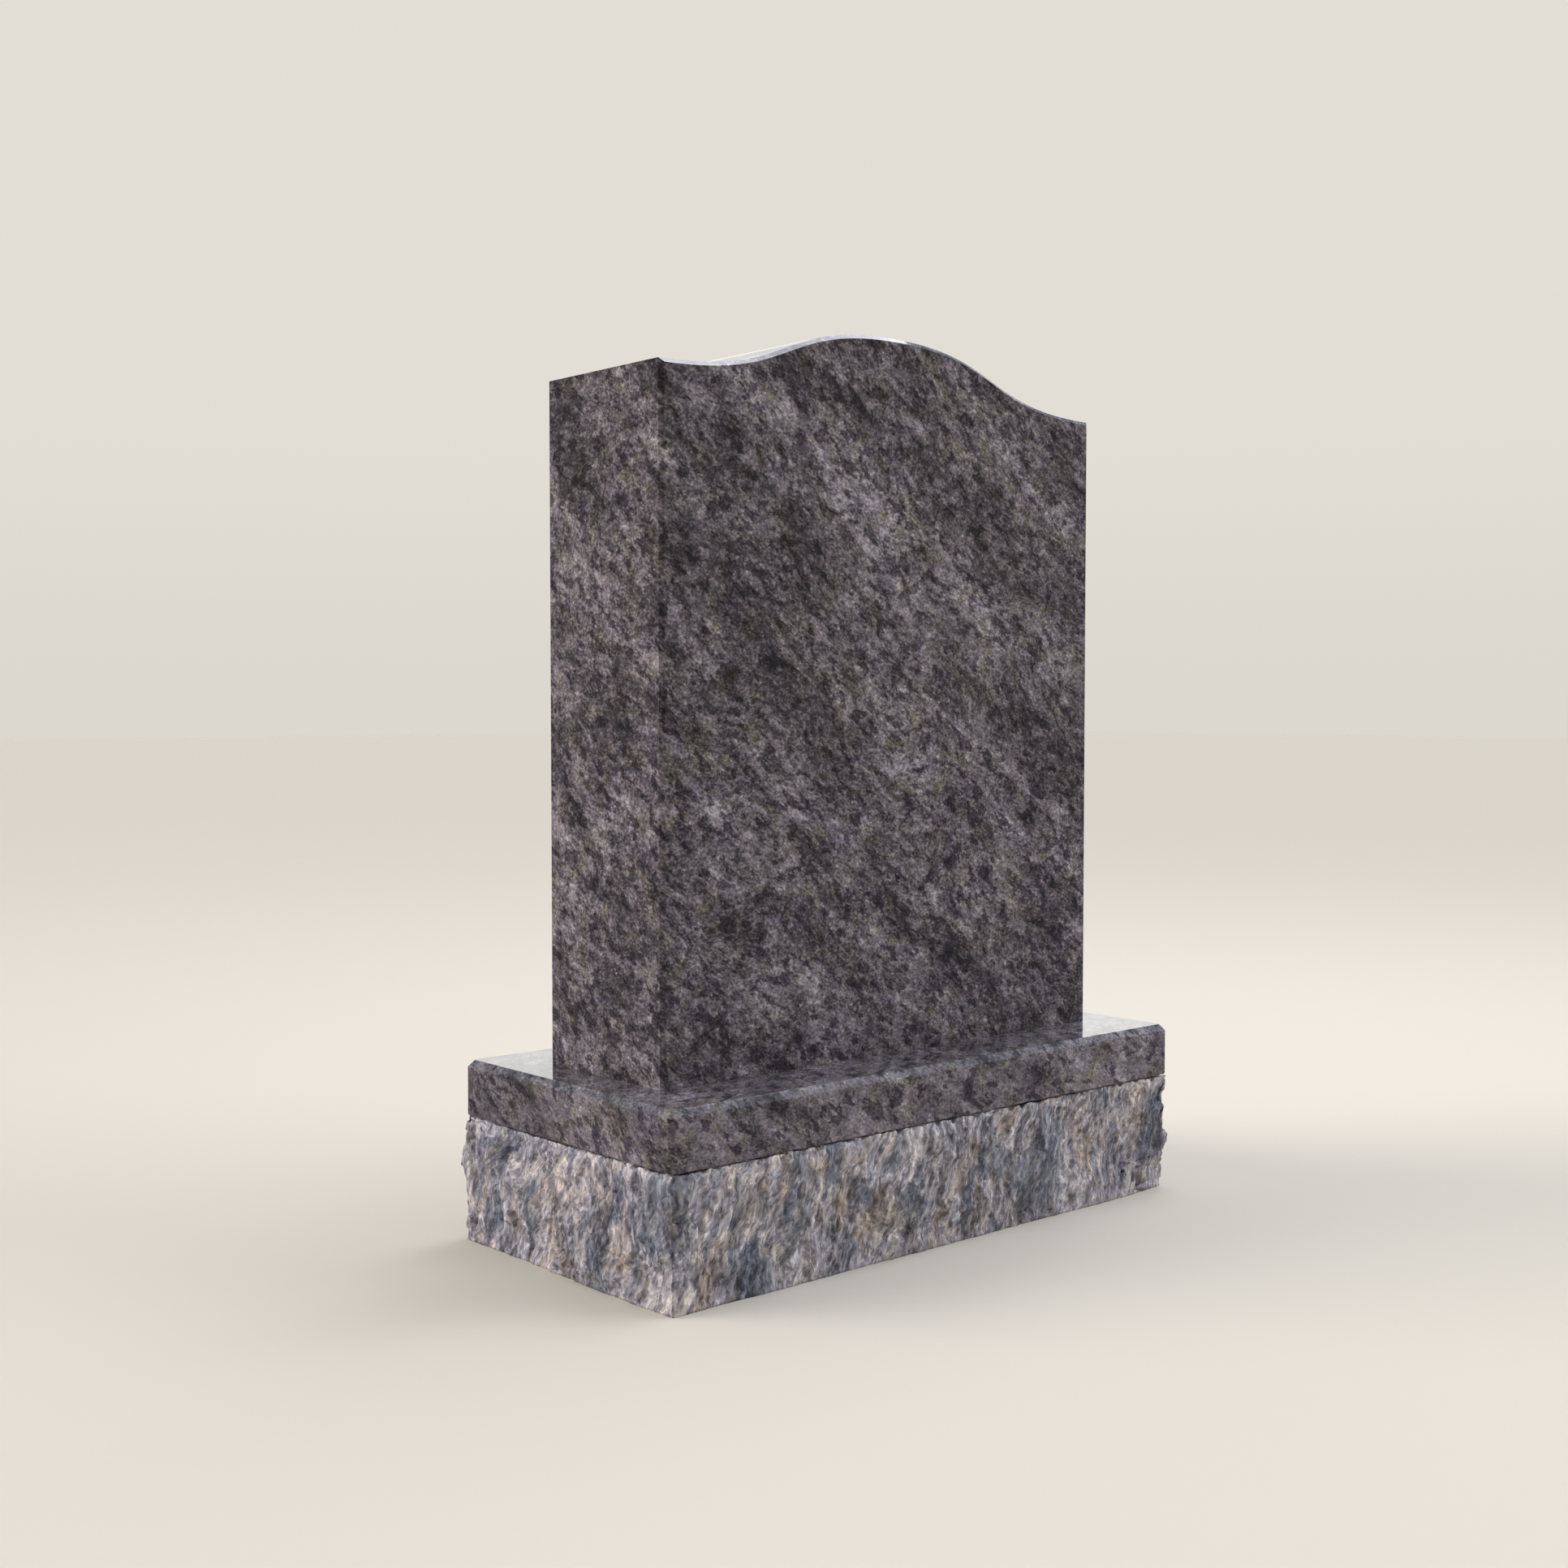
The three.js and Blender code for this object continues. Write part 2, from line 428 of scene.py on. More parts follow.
# Every broken grain throws the light back its own way, so the eye sees the same stone pale and
# matt, with its streaks and veins at their clearest.
@dataclass(frozen=True)
class RockPitchedGranite(Finish):
    """The same kind of granite as the hammer and pitcher leave it.

    The broken grains scatter the light, so it looks lighter and quite matt, in steep wavy streaks
    of lilac-grey, slate blue and buff.
    """

    name: str = "rock-pitched granite"
    slot: str = "rock_pitched_granite"
    fold: float = 85 * MM
    fold_reach: float = 14 * MM
    ripple: float = 17 * MM
    ripple_reach: float = 2.2 * MM
    shift: tuple[float, float, float] = (0.07, 1.08, 1.78)  # moves the pattern through the stone
    streaks: Bed = Bed(
        3.0, -2.2, 3.2, (Layer(26 * MM, 2.0, 0.6, 0.1), Layer(9 * MM, 3.0, 0.7, 0.14))
    )
    flakes: Bed = Bed(2.6, -2.4, 2.4, (Layer(5 * MM, 3.0, 0.7, 0.2),))
    flake: float = 2.0 * MM  # about twice a real grain, which wouldn't show from here
    flake_weight: float = 0.36
    veins: tuple[Vein, ...] = (
        Vein(Layer(26 * MM, 2.0, 0.5, 0.4), 0.12, 0.18),
        Vein(Layer(15 * MM, 2.0, 0.6, 0.4), 0.06, 0.2),
    )
    ragged: float = 3 * MM  # spacing of the nicks in the outline of a flake
    ragged_reach: float = 1.2 * MM
    bruise_band: float = 11 * MM  # the pitcher's bruises along the upper edge
    bruise: float = 0.28
    upper_edge: float = 125 * MM
    middle: float = 0.475
    tones: tuple[tuple[float, str], ...] = (
        (0.00, "#302f35"),
        (0.30, "#67656d"),
        (0.50, "#8e8b93"),
        (0.68, "#adaab1"),
        (0.84, "#c8c6ca"),
        (1.00, "#f0eeee"),
    )
    slate_patch: Layer = Layer(30 * MM, 4.0, 0.7, 1.0)
    slate: Stain = Stain("#b9c2cc", -0.1, 0.6)
    buff_patch: Layer = Layer(22 * MM, 4.0, 0.7, 1.0)
    buff: Stain = Stain("#f3e9d9", 0.0, 0.8)
    vein_buff: Stain = Stain("#f4eee8", 0.0, 0.9)
    roughness: float = 0.8
    pit: float = 0.8 * MM  # height of the fine grit that the surface's own shape leaves out

    def surface(self, tree: Tree) -> dict:
        """Lays out the streaks, flakes, veins and bruises of the broken stone.

        Args:
            tree: the material's tree.

        Returns:
            The shader's inputs.
        """
        place = shifted(tree, self.shift)
        waves = folded(tree, place, self.fold, self.fold_reach)
        bed = folded(tree, waves, self.ripple, self.ripple_reach)
        streaks = self.streaks.place(tree, bed)
        flakes = self.flakes.place(tree, bed)
        nicked = folded(tree, flakes, self.ragged, self.ragged_reach)
        cells = tree.add("ShaderNodeTexVoronoi", inputs={"Vector": nicked, "Scale": 1 / self.flake})
        own = tree.add("ShaderNodeSeparateColor", inputs={"Color": cells.outputs["Color"]})
        fine = tree.add(
            "ShaderNodeMath",
            {"operation": "MULTIPLY_ADD"},
            {0: own.outputs[0], 1: self.flake_weight, 2: -self.flake_weight / 2},
        ).outputs[0]
        fine = vary(tree, flakes, self.flakes.layers, fine)
        tone = tree.add("ShaderNodeMath", {"operation": "ADD"}, {0: fine, 1: self.middle})
        tone = vary(tree, streaks, self.streaks.layers, tone.outputs[0])
        veined = []
        for vein in self.veins:
            crossing = vary(tree, streaks, (vein.layer,), 0.0)
            away = tree.add("ShaderNodeMath", {"operation": "ABSOLUTE"}, {0: crossing})
            share = tree.add(
                "ShaderNodeMapRange",
                inputs={"Value": away.outputs[0], 1: 0.0, 2: vein.width, 3: 1.0, 4: 0.0},
            ).outputs[0]
            tone = tree.add(
                "ShaderNodeMath", {"operation": "MULTIPLY_ADD"}, {0: share, 1: vein.lift, 2: tone}
            ).outputs[0]
            veined.append(share)
        here = tree.add("ShaderNodeTexCoord").outputs["Object"]
        height = tree.add("ShaderNodeSeparateXYZ", inputs={0: here}).outputs["Z"]
        bruised = tree.add(
            "ShaderNodeMapRange",
            {"interpolation_type": "SMOOTHSTEP"},
            {
                "Value": height,
                1: self.upper_edge - self.bruise_band,
                2: self.upper_edge,
                3: 0.0,
                4: self.bruise,
            },
        )
        tone = tree.add(
            "ShaderNodeMath",
            {"operation": "MULTIPLY_ADD"},
            {0: bruised.outputs[0], 1: own.outputs[1], 2: tone},
        )
        stone = tree.add(
            "ShaderNodeValToRGB", inputs={"Fac": tone.outputs[0]}, stops=list(self.tones)
        )
        slates = vary(tree, streaks, (self.slate_patch,), 0.0)
        slate = tinted(tree, stone.outputs[0], slates, self.slate)
        buffs = vary(tree, streaks, (self.buff_patch,), 0.0)
        colour = tinted(tree, slate, buffs, self.buff)
        for share in veined:
            colour = tinted(tree, colour, share, self.vein_buff)
        bump = tree.add(
            "ShaderNodeBump", inputs={"Strength": 1.0, "Distance": self.pit, "Height": fine}
        )
        return {"Base Color": colour, "Roughness": self.roughness, "Normal": bump.outputs[0]}


# A matt floor gives the eye one even pale tone, with only soft shade where the stone stands.
@dataclass(frozen=True)
class PaleFloor(Finish):
    """A plain matt floor, pale enough to set off the stone and dimmer where the polish shows it."""

    name: str = "plain pale floor"
    colour: str = "#cac3b5"
    mirrored: str = "#69666a"

    def surface(self, tree: Tree) -> dict:
        """Makes the floor pale to the eye and dimmer to the polish.

        Args:
            tree: the material's tree.

        Returns:
            The shader's inputs.
        """
        path = tree.add("ShaderNodeLightPath").outputs
        colour = tree.add(
            "ShaderNodeMix",
            {"data_type": "RGBA"},
            {
                0: path["Is Glossy Ray"],
                MIX_COLOUR_A: linear(self.colour),
                MIX_COLOUR_B: linear(self.mirrored),
            },
        )
        return {
            "Base Color": colour.outputs[MIX_COLOUR_OUT],
            "Roughness": 1.0,
            "Specular IOR Level": 0.0,
        }


def stone_through_loops(name: str, loops: list[list[Vector]]) -> bpy.types.Object:
    """Builds a closed stone through a stack of loops with the same number of points in each.

    Args:
        name: the piece's name.
        loops: the loops in order, each turning anticlockwise seen from the last one.

    Returns:
        The new object, linked to the scene.
    """
    mesh = bpy.data.meshes.new(name)
    work = bmesh.new()
    rows = [[work.verts.new(point) for point in loop] for loop in loops]
    for low, high in zip(rows, rows[1:]):
        for i, vert in enumerate(low):
            after = (i + 1) % len(low)
            work.faces.new((vert, low[after], high[after], high[i]))
    work.faces.new(list(reversed(rows[0])))
    work.faces.new(rows[-1])
    for face in work.faces:
        face.smooth = True
    work.to_mesh(mesh)
    work.free()
    piece = bpy.data.objects.new(name, mesh)
    bpy.context.scene.collection.objects.link(piece)
    return piece


def settle(piece: bpy.types.Object) -> None:
    """Makes what a piece's modifiers show its own plain mesh, and removes them.

    Args:
        piece: the object to settle.
    """
    graph = bpy.context.evaluated_depsgraph_get()
    shown = bpy.data.meshes.new_from_object(piece.evaluated_get(graph), depsgraph=graph)
    piece.modifiers.clear()
    piece.data = shown


def round_edges(piece: bpy.types.Object, radius: float, steps: int = 3, sharp: float = 20) -> None:
    """Eases the sharp edges of a polished stone as the last pads leave them.

    Args:
        piece: the stone.
        radius: how far the rounding reaches from each edge.
        steps: flats round each edge.
        sharp: the least angle in degrees that counts as an edge.
    """
    bevel = piece.modifiers.new("eased edges", "BEVEL")
    bevel.width = radius
    bevel.segments = steps
    bevel.limit_method = "ANGLE"
    bevel.angle_limit = math.radians(sharp)
    bevel.harden_normals = True
    settle(piece)


def dress(piece: bpy.types.Object, node: str, material: bpy.types.Material) -> None:
    """Gives a piece its finish and ties it to the model that it dresses.

    Args:
        piece: the finished object.
        node: the solid that it stands for.
        material: its finish.
    """
    piece.data.materials.clear()
    piece.data.materials.append(material)
    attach(piece, "root")
    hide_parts(node)
    log.info("%s: %d faces in %s", piece.name, len(piece.data.polygons), material.name)


@dataclass
class Stone:
    """A stone of the memorial, as large as the solid that it stands for."""

    node: str
    low: Vector = field(init=False)
    high: Vector = field(init=False)

    def __post_init__(self) -> None:
        """Reads the stone's size from the frame."""
        self.low, self.high = (Vector(corner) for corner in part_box(self.node))


@dataclass
class Tablet(Stone):
    """The upright slab, with a wave top and a small arris round both faces."""

    node: str = "tablet"
    arris: float = 4 * MM
    crown_rise: float = 54 * MM
    crown_fullness: float = 0.52
    shoulder_fullness: float = 0.55
    wave_steps: int = 120  # straight stretches in each half of the wave
    straight: float = 1e-9  # two edges that turn by less than this run straight on
    edge_round: float = 0.5 * MM
    seat: float = 0.25 * MM  # how far it sinks into the joint under it, which hardly shows

    def __post_init__(self) -> None:
        """Reads the tablet's size from the frame and sinks its foot into the joint."""
        super().__post_init__()
        self.low.z -= self.seat

    def half_wave(self) -> list[tuple[float, float]]:
        """Returns the wave from the right shoulder to the crown, as sideways and height."""
        half = self.high.x
        shoulder = self.high.z - self.crown_rise
        handles = (
            Vector((half, shoulder)),
            Vector((half * (1 - self.shoulder_fullness), shoulder)),
            Vector((half * self.crown_fullness, self.high.z)),
            Vector((0.0, self.high.z)),
        )
        points = []
        for step in range(self.wave_steps + 1):
            t = step / self.wave_steps
            shares = ((1 - t) ** 3, 3 * t * (1 - t) ** 2, 3 * t * t * (1 - t), t ** 3)
            point = sum((share * handle for share, handle in zip(shares, handles)), Vector((0, 0)))
            points.append((point.x, point.y))
        return points

    def outline(self) -> list[tuple[float, float]]:
        """Returns the outline seen from the front, anticlockwise from the bottom left."""
        wave = self.half_wave()
        other = [(-x, z) for x, z in reversed(wave[:-1])]
        return [(self.low.x, self.low.z), (self.high.x, self.low.z)] + wave + other

    def face(self) -> list[tuple[float, float]]:
        """Returns the outline drawn in by the arris, except along the bottom edge."""
        outline = self.outline()
        count = len(outline)
        inward = []
        for (x, z), (next_x, next_z) in zip(outline, outline[1:] + outline[:1]):
            length = math.hypot(next_x - x, next_z - z)
            inward.append(((z - next_z) / length, (next_x - x) / length))
        reach = [0.0] + [self.arris] * (count - 1)
        drawn = []
        for i, (x, z) in enumerate(outline):
            (ax, az), (bx, bz) = inward[i - 1], inward[i]
            turn = ax * bz - az * bx
            if abs(turn) < self.straight:
                drawn.append((x + bx * reach[i], z + bz * reach[i]))
                continue
            move_x = (reach[i - 1] * bz - reach[i] * az) / turn
            move_z = (reach[i] * ax - reach[i - 1] * bx) / turn
            drawn.append((x + move_x, z + move_z))
        return drawn

    def build(self, finish: PolishedGranite) -> bpy.types.Object:
        """Builds and dresses the tablet.

        Args:
            finish: the stone's finish.

        Returns:
            The tablet.
        """
        outline = self.outline()
        face = self.face()
        stations = (
            (face, self.high.y),
            (outline, self.high.y - self.arris),
            (outline, self.low.y + self.arris),
            (face, self.low.y),
        )
        loops = [[Vector((x, y, z)) for x, z in shape] for shape, y in stations]
        piece = stone_through_loops("wave_top_tablet", loops)
        round_edges(piece, self.edge_round)
        dress(piece, self.node, finish.material())
        return piece


@dataclass
class Slab(Stone):
    """The polished base slab, chamfered round its top edge and up its corners."""

    node: str = "polished_base"
    chamfer: float = 6.5 * MM
    corner_cut: float = 6 * MM
    arris: float = 1.5 * MM
    edge_round: float = 0.5 * MM

    def loop(self, inset: float, z: float) -> list[Vector]:
        """Draws the slab's plan, with every side moved in by the same distance.

        Args:
            inset: how far each side moves in.
            z: the loop's height.

        Returns:
            Eight points, anticlockwise from above.
        """
        # The sides move in by the same distance, so a cut corner keeps less of its length.
        cut = self.corner_cut - inset * (2 - math.sqrt(2))
        left, right = self.low.x + inset, self.high.x - inset
        front, back = self.low.y + inset, self.high.y - inset
        plan = (
            (left + cut, front),
            (right - cut, front),
            (right, front + cut),
            (right, back - cut),
            (right - cut, back),
            (left + cut, back),
            (left, back - cut),
            (left, front + cut),
        )
        return [Vector((x, y, z)) for x, y in plan]

    def build(self, finish: PolishedGranite) -> bpy.types.Object:
        """Builds and dresses the slab.

        Args:
            finish: the stone's finish.

        Returns:
            The slab.
        """
        loops = [
            self.loop(self.arris, self.low.z),
            self.loop(0.0, self.low.z + self.arris),
            self.loop(0.0, self.high.z - self.chamfer),
            self.loop(self.chamfer, self.high.z),
        ]
        piece = stone_through_loops("chamfered_slab", loops)
        round_edges(piece, self.edge_round)
        dress(piece, self.node, finish.material())
        return piece


class BreakTree(Tree):
    """The tree that breaks the course's sides, with what each of its steps reads."""

    def __init__(self, group: bpy.types.NodeTree) -> None:
        """Starts the tree.

        Args:
            group: the node group, which has its inputs by now.
        """
        super().__init__(group)
        self.given = self.add("NodeGroupInput").outputs
        self.place = self.add("GeometryNodeInputPosition").outputs[0]
        facing = self.add(
            "GeometryNodeInputNamedAttribute", {"data_type": "FLOAT_VECTOR"}, {"Name": "facing"}
        )
        self.facing = facing.outputs[0]  # the way that each point faces


@dataclass
class PitchedCourse(Stone):
    """The lower course: sawn flat above and below, broken by the pitcher on four sides."""

    node: str = "rock_pitched_base"
    length: float = 700 * MM
    depth: float = 335 * MM
    step: float = 2.0 * MM  # spacing of the points over a broken side
    search: float = 40 * MM  # how far outside the block the solid's face is looked for
    search_reach: float = 1.0  # how far inwards the search runs
    weld: float = 0.01 * MM  # the solid's points that lie closer than this become one
    facet: float = 24 * MM  # broad facets, and how steep they are
    facet_tilt: float = 0.38
    facet_stretch: float = 0.6  # heights count for less, so a facet is taller than it is wide
    scar: float = 9 * MM  # the smaller scars over them
    scar_tilt: float = 0.5
    ragged: float = 11 * MM  # spacing and size of the nicks in a facet's outline
    ragged_reach: float = 9 * MM
    ragged_detail: float = 3.0
    grit: float = 3.4 * MM
    grit_reach: float = 0.6 * MM
    edge_band: float = 9 * MM  # the break dies away to the sawn edges over this height
    edge_hold: float = 0.25  # share of the break that still shows at a sawn edge
    chip: float = 9 * MM
    chip_reach: float = 6.5 * MM
    chip_span: tuple[float, float] = (0.4, 0.7)  # variation from no chip to the deepest
    chip_drop: float = 0.7  # how far a chip falls for each unit that it goes in
    chip_detail: float = 2.0
    chip_roughness: float = 0.7
    seed: float = 4.0  # which facets come out

    def plan(self) -> list[tuple[float, float, float, float]]:
        """Returns the nominal plan's points, each with the way that it faces."""
        points = []
        for side in Side:
            out = Vector(side.value)
            along = Vector((-out.y, out.x))
            reach = self.depth / 2 if side in (Side.FRONT, Side.BACK) else self.length / 2
            span = self.length if side in (Side.FRONT, Side.BACK) else self.depth
            count = round(span / self.step)
            for i in range(count):
                place = out * reach + along * span * (i / count - 0.5)
                facing = out if i else (out - along)
                points.append((place.x, place.y, facing.x, facing.y))
        return points

    def cage(self) -> bpy.types.Object:
        """Builds the plain block that the break is worked into.

        Returns:
            The block, with the way that each point faces kept as an attribute.
        """
        plan = self.plan()
        rows = round((self.high.z - self.low.z) / self.step)
        loops = []
        for row in range(rows + 1):
            z = self.low.z + (self.high.z - self.low.z) * row / rows
            loops.append([Vector((x, y, z)) for x, y, _, _ in plan])
        piece = stone_through_loops("rock_pitched_course", loops)
        facing = piece.data.attributes.new("facing", "FLOAT_VECTOR", "POINT")
        outward = [part for _ in loops for _, _, x, y in plan for part in (x, y, 0.0)]
        facing.data.foreach_set("vector", outward)
        return piece

    def solid(self) -> bpy.types.Object:
        """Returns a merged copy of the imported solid, which the block is fitted to."""
        work = bmesh.new()
        work.from_mesh(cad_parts[self.node].data)
        bmesh.ops.remove_doubles(work, verts=work.verts, dist=self.weld)
        mesh = bpy.data.meshes.new("course solid")
        work.to_mesh(mesh)
        work.free()
        solid = bpy.data.objects.new("course solid", mesh)
        bpy.context.scene.collection.objects.link(solid)
        return solid

    def sizes(self) -> dict[str, float]:
        """Returns the sizes of the break, by the names of the relief tree's inputs."""
        return {
            "Search": self.search,
            "Facet": self.facet,
            "Facet Tilt": self.facet_tilt,
            "Scar": self.scar,
            "Scar Tilt": self.scar_tilt,
            "Grit": self.grit,
            "Grit Reach": self.grit_reach,
            "Edge Band": self.edge_band,
            "Chip": self.chip,
            "Chip Reach": self.chip_reach,
            "Top": self.high.z,
            "Seed": self.seed,
        }

    def relief_tree(self) -> bpy.types.NodeTree:
        """Builds the Geometry Nodes tree that breaks the block's sides.

        Returns:
            The tree, with a named input for each size.
        """
        group = bpy.data.node_groups.new("pitched break", "GeometryNodeTree")
        sockets = {
            "Block": "NodeSocketGeometry",
            "Solid": "NodeSocketObject",
            **dict.fromkeys(self.sizes(), "NodeSocketFloat"),
            "Finish": "NodeSocketMaterial",
        }
        for name, kind in sockets.items():
            group.interface.new_socket(name, in_out="INPUT", socket_type=kind)
        group.interface.new_socket("Stone", in_out="OUTPUT", socket_type="NodeSocketGeometry")
        tree = BreakTree(group)
        fitted = self.fit_to_solid(tree)
        broken = self.break_sides(tree, fitted)
        chipped = self.chip_edge(tree, broken)
        real = tree.add("GeometryNodeRealizeInstances", inputs={"Geometry": chipped})
        dressed = tree.add(
            "GeometryNodeSetMaterial",
            inputs={"Geometry": real.outputs[0], "Material": tree.given["Finish"]},
        )
        tree.add("NodeGroupOutput", inputs={"Stone": dressed.outputs[0]})
        return group

    def fit_to_solid(self, tree: BreakTree) -> bpy.types.NodeSocket:
        """Moves each point of the block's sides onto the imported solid.

        Args:
            tree: the tree that gets the nodes.

        Returns:
            The fitted geometry.
        """
        out = tree.add(
            "ShaderNodeVectorMath",
            {"operation": "SCALE"},
            {0: tree.facing, "Scale": tree.given["Search"]},
        )
        start = tree.add(
            "ShaderNodeVectorMath", {"operation": "ADD"}, {0: tree.place, 1: out.outputs[0]}
        )
        back = tree.add(
            "ShaderNodeVectorMath", {"operation": "SCALE"}, {0: tree.facing, "Scale": -1.0}
        )
        target = tree.add("GeometryNodeObjectInfo", inputs={"Object": tree.given["Solid"]})
        hit = tree.add(
            "GeometryNodeRaycast",
            inputs={
                "Target Geometry": target.outputs["Geometry"],
                "Source Position": start.outputs[0],
                "Ray Direction": back.outputs[0],
                "Ray Length": self.search_reach,
            },
        )
        moved = tree.add(
            "GeometryNodeSetPosition",
            inputs={
                "Geometry": tree.given["Block"],
                "Selection": hit.outputs["Is Hit"],
                "Position": hit.outputs["Hit Position"],
            },
        )
        return moved.outputs[0]

    def facets(
        self, tree: BreakTree, size: bpy.types.NodeSocket, tilt: bpy.types.NodeSocket
    ) -> bpy.types.NodeSocket:
        """Makes a field of flat facets, each tilted its own way.

        Args:
            tree: the tree that gets the nodes.
            size: from one facet to the next.
            tilt: how steep they are.

        Returns:
            How far each point stands out.
        """
        ragged = tree.add(
            "ShaderNodeTexNoise",
            inputs={"Vector": tree.place, "Scale": 1 / self.ragged, "Detail": self.ragged_detail},
        )
        centred = tree.add(
            "ShaderNodeVectorMath",
            {"operation": "SUBTRACT"},
            {0: ragged.outputs["Color"], 1: (0.5, 0.5, 0.5)},
        )
        stirred = tree.add(
            "ShaderNodeVectorMath",
            {"operation": "MULTIPLY_ADD"},
            {0: centred.outputs[0], 1: (self.ragged_reach,) * 3, 2: tree.place},
        )
        steep = tree.add(
            "ShaderNodeVectorMath",
            {"operation": "MULTIPLY"},
            {0: stirred.outputs[0], 1: (1.0, 1.0, self.facet_stretch)},
        )
        scale = tree.add("ShaderNodeMath", {"operation": "DIVIDE"}, {0: 1.0, 1: size})
        cells = tree.add(
            "ShaderNodeTexVoronoi",
            {"voronoi_dimensions": "4D"},
            {"Vector": steep.outputs[0], "W": tree.given["Seed"], "Scale": scale.outputs[0]},
        )
        lean = tree.add(
            "ShaderNodeVectorMath",
            {"operation": "SUBTRACT"},
            {0: cells.outputs["Color"], 1: (0.5, 0.5, 0.5)},
        )
        arm = tree.add(
            "ShaderNodeVectorMath",
            {"operation": "SUBTRACT"},
            {0: steep.outputs[0], 1: cells.outputs["Position"]},
        )
        height = tree.add(
            "ShaderNodeVectorMath",
            {"operation": "DOT_PRODUCT"},
            {0: lean.outputs[0], 1: arm.outputs[0]},
        )
        return tree.add(
            "ShaderNodeMath", {"operation": "MULTIPLY"}, {0: height.outputs["Value"], 1: tilt}
        ).outputs[0]

    def break_sides(self, tree: BreakTree, geometry: bpy.types.NodeSocket) -> bpy.types.NodeSocket:
        """Works facets, scars and grit into the sides, and lets them die away at the sawn edges.

        Args:
            tree: the tree that gets the nodes.
            geometry: the fitted block.

        Returns:
            The broken geometry.
        """
        broad = self.facets(tree, tree.given["Facet"], tree.given["Facet Tilt"])
        small = self.facets(tree, tree.given["Scar"], tree.given["Scar Tilt"])
        grit_scale = tree.add(
            "ShaderNodeMath", {"operation": "DIVIDE"}, {0: 1.0, 1: tree.given["Grit"]}
        )
        grit = tree.add(
            "ShaderNodeTexNoise",
            inputs={"Vector": tree.place, "Scale": grit_scale.outputs[0], "Detail": 1.0},
        )
        centred = tree.add(
            "ShaderNodeMath", {"operation": "SUBTRACT"}, {0: grit.outputs["Fac"], 1: 0.5}
        )
        facets = tree.add("ShaderNodeMath", {"operation": "ADD"}, {0: broad, 1: small})
        relief = tree.add(
            "ShaderNodeMath",
            {"operation": "MULTIPLY_ADD"},
            {0: centred.outputs[0], 1: tree.given["Grit Reach"], 2: facets.outputs[0]},
        )
        held = self.hold(tree)
        reach = tree.add(
            "ShaderNodeMath", {"operation": "MULTIPLY"}, {0: relief.outputs[0], 1: held}
        )
        offset = tree.add(
            "ShaderNodeVectorMath",
            {"operation": "SCALE"},
            {0: tree.facing, "Scale": reach.outputs[0]},
        )
        return tree.add(
            "GeometryNodeSetPosition", inputs={"Geometry": geometry, "Offset": offset.outputs[0]}
        ).outputs[0]

    def hold(self, tree: BreakTree) -> bpy.types.NodeSocket:
        """Says how much of the break shows at each height.

        Args:
            tree: the tree that gets the nodes.

        Returns:
            A share that is one over most of the side and small at the sawn edges.
        """
        height = tree.add("ShaderNodeSeparateXYZ", inputs={0: tree.place}).outputs["Z"]
        above = tree.add(
            "ShaderNodeMath", {"operation": "SUBTRACT"}, {0: tree.given["Top"], 1: height}
        )
        nearest = tree.add(
            "ShaderNodeMath", {"operation": "MINIMUM"}, {0: above.outputs[0], 1: height}
        )
        return tree.add(
            "ShaderNodeMapRange",
            {"interpolation_type": "SMOOTHSTEP"},
            {
                "Value": nearest.outputs[0],
                1: 0.0,
                2: tree.given["Edge Band"],
                3: self.edge_hold,
                4: 1.0,
            },
        ).outputs[0]

    def chip_edge(self, tree: BreakTree, geometry: bpy.types.NodeSocket) -> bpy.types.NodeSocket:
        """Knocks small chips out of the upper edge.

        Args:
            tree: the tree that gets the nodes.
            geometry: the broken block.

        Returns:
            The chipped geometry.
        """
        height = tree.add("ShaderNodeSeparateXYZ", inputs={0: tree.place}).outputs["Z"]
        scale = tree.add("ShaderNodeMath", {"operation": "DIVIDE"}, {0: 1.0, 1: tree.given["Chip"]})
        noise = tree.add(
            "ShaderNodeTexNoise",
            inputs={
                "Vector": tree.place,
                "Scale": scale.outputs[0],
                "Detail": self.chip_detail,
                "Roughness": self.chip_roughness,
            },
        )
        depth = tree.add(
            "ShaderNodeMapRange",
            inputs={
                "Value": noise.outputs["Fac"],
                1: self.chip_span[0],
                2: self.chip_span[1],
                3: 0.0,
                4: tree.given["Chip Reach"],
            },
        )
        below = tree.add(
            "ShaderNodeMath", {"operation": "SUBTRACT"}, {0: tree.given["Top"], 1: height}
        )
        near = tree.add(
            "ShaderNodeMapRange",
            inputs={"Value": below.outputs[0], 1: 0.0, 2: tree.given["Edge Band"], 3: 1.0, 4: 0.0},
        )
        bite = tree.add(
            "ShaderNodeMath", {"operation": "MULTIPLY"}, {0: depth.outputs[0], 1: near.outputs[0]}
        )
        inwards = tree.add(
            "ShaderNodeVectorMath",
            {"operation": "ADD"},
            {0: tree.facing, 1: (0.0, 0.0, self.chip_drop)},
        )
        minus = tree.add("ShaderNodeMath", {"operation": "MULTIPLY"}, {0: bite.outputs[0], 1: -1.0})
        offset = tree.add(
            "ShaderNodeVectorMath",
            {"operation": "SCALE"},
            {0: inwards.outputs[0], "Scale": minus.outputs[0]},
        )
        return tree.add(
            "GeometryNodeSetPosition", inputs={"Geometry": geometry, "Offset": offset.outputs[0]}
        ).outputs[0]

